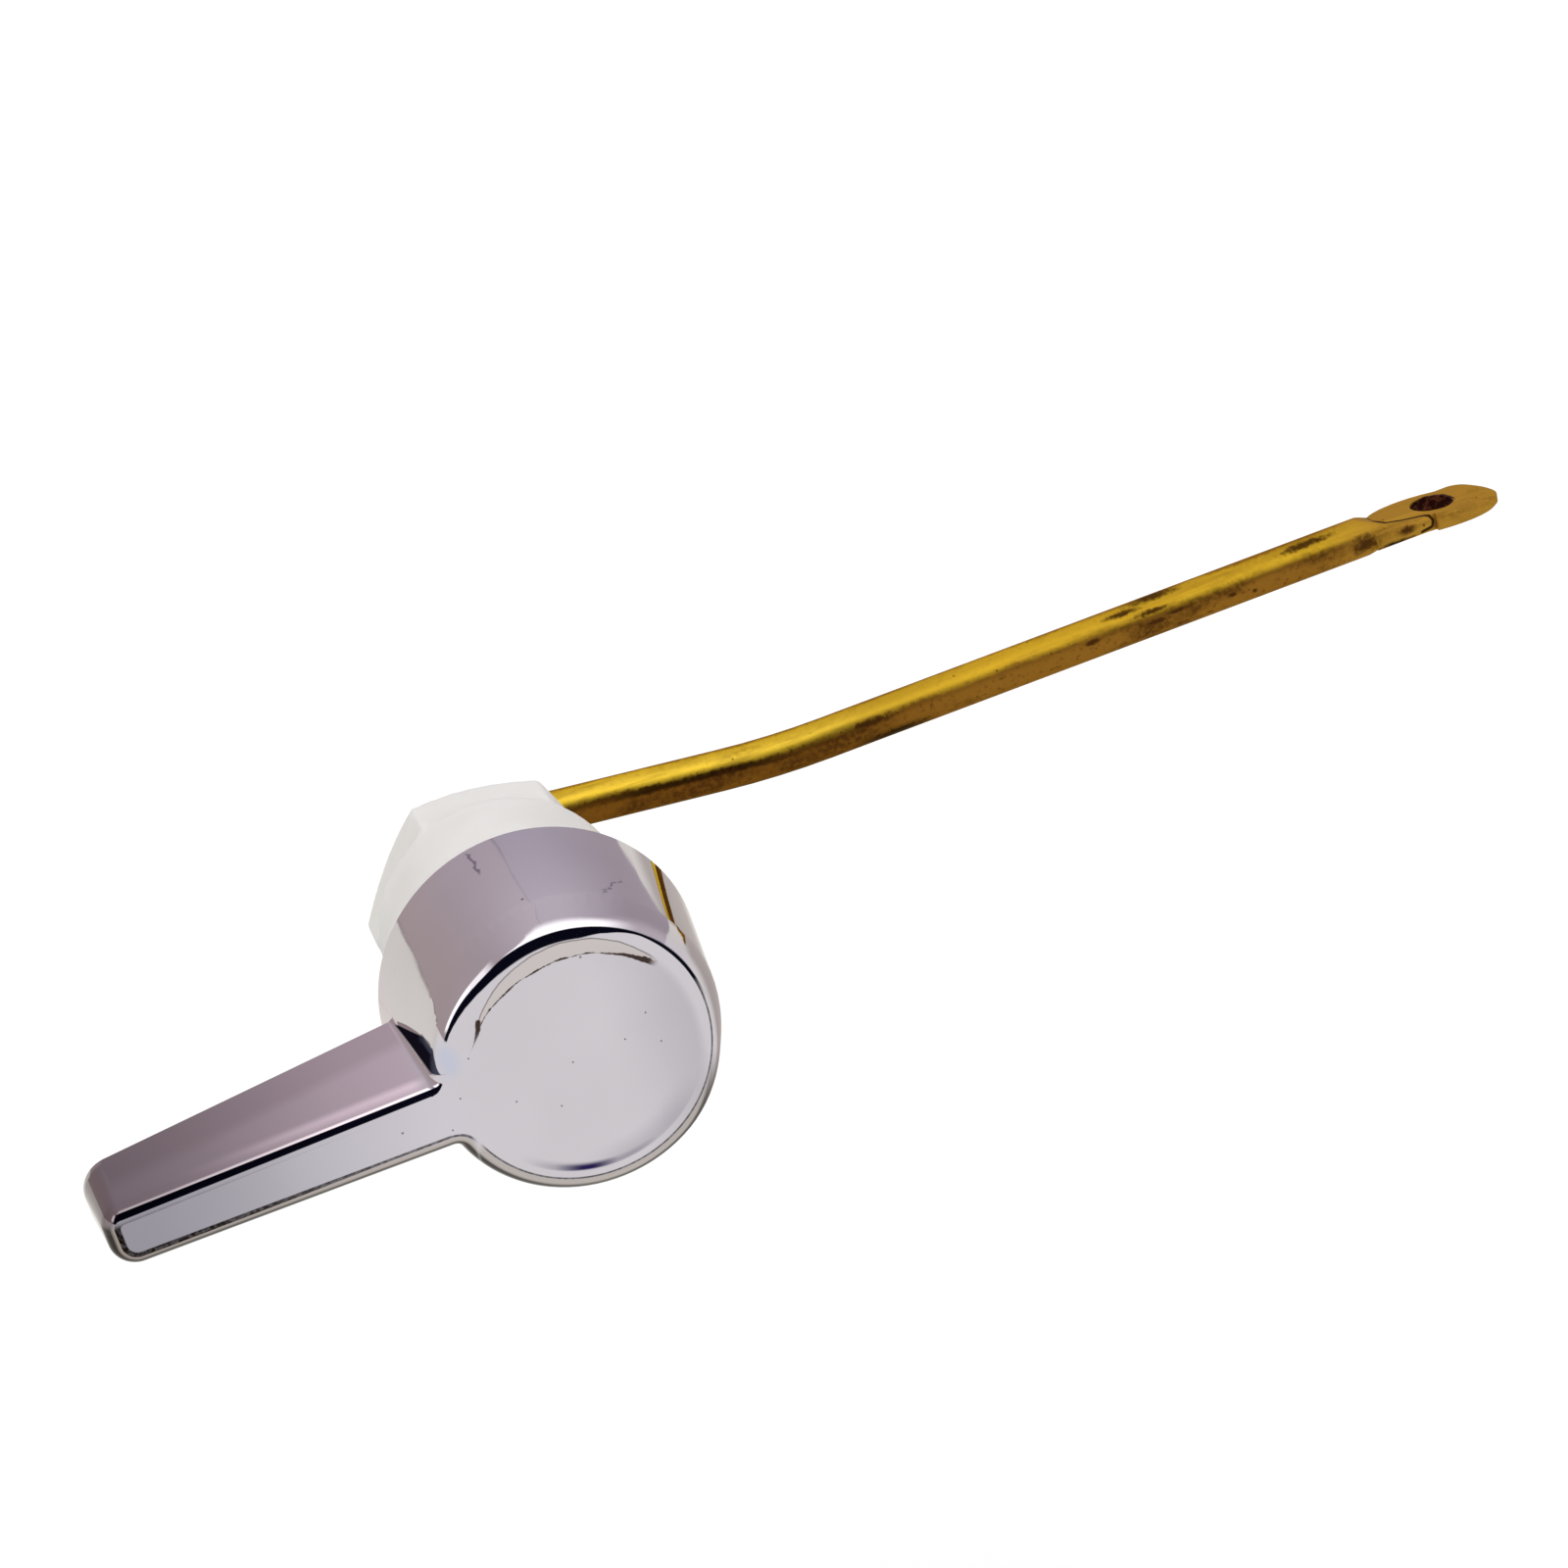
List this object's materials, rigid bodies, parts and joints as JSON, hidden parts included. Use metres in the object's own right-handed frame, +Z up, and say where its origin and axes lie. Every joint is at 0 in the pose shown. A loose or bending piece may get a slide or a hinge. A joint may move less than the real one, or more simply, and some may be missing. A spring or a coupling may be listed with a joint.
{
  "type": "cistern lever",
  "caption": "Front-mount cistern lever: chrome handle with a round hub, threaded bushing, lock nut and bent brass trip arm with a drilled flat end.",
  "frame": {"origin": "on the spindle axis, in the plane where the bushing's flange meets the outside of the cistern wall", "axes": "+Y along the spindle into the cistern, +X along the trip arm, +Z up; the handle's lever points to -X"},
  "size_m": [0.1777, 0.0667, 0.0332],
  "materials": {
    "chrome": "bright chrome plate on a zinc casting, lightly scuffed",
    "bushing_plastic": "natural white moulded plastic",
    "nut_plastic": "natural white moulded plastic, slightly translucent",
    "brass": "drawn brass rod, tarnished brown in patches"
  },
  "bodies": {
    "bushing": {"bushing": "bushing_plastic"},
    "lever": {"handle": "chrome", "trip_arm": "brass"},
    "nut": {"lock_nut": "nut_plastic"}
  },
  "joints": [
    {"name": "lever_turn", "type": "hinge", "parent": "bushing", "child": "lever", "pos_m": [0, 0, 0], "axis": [0, -1, 0], "range_deg": [0, 40]},
    {"name": "nut_travel", "type": "slide", "parent": "bushing", "child": "nut", "axis": [0, 1, 0], "range_m": [-0.0047, 0.01]}
  ]
}
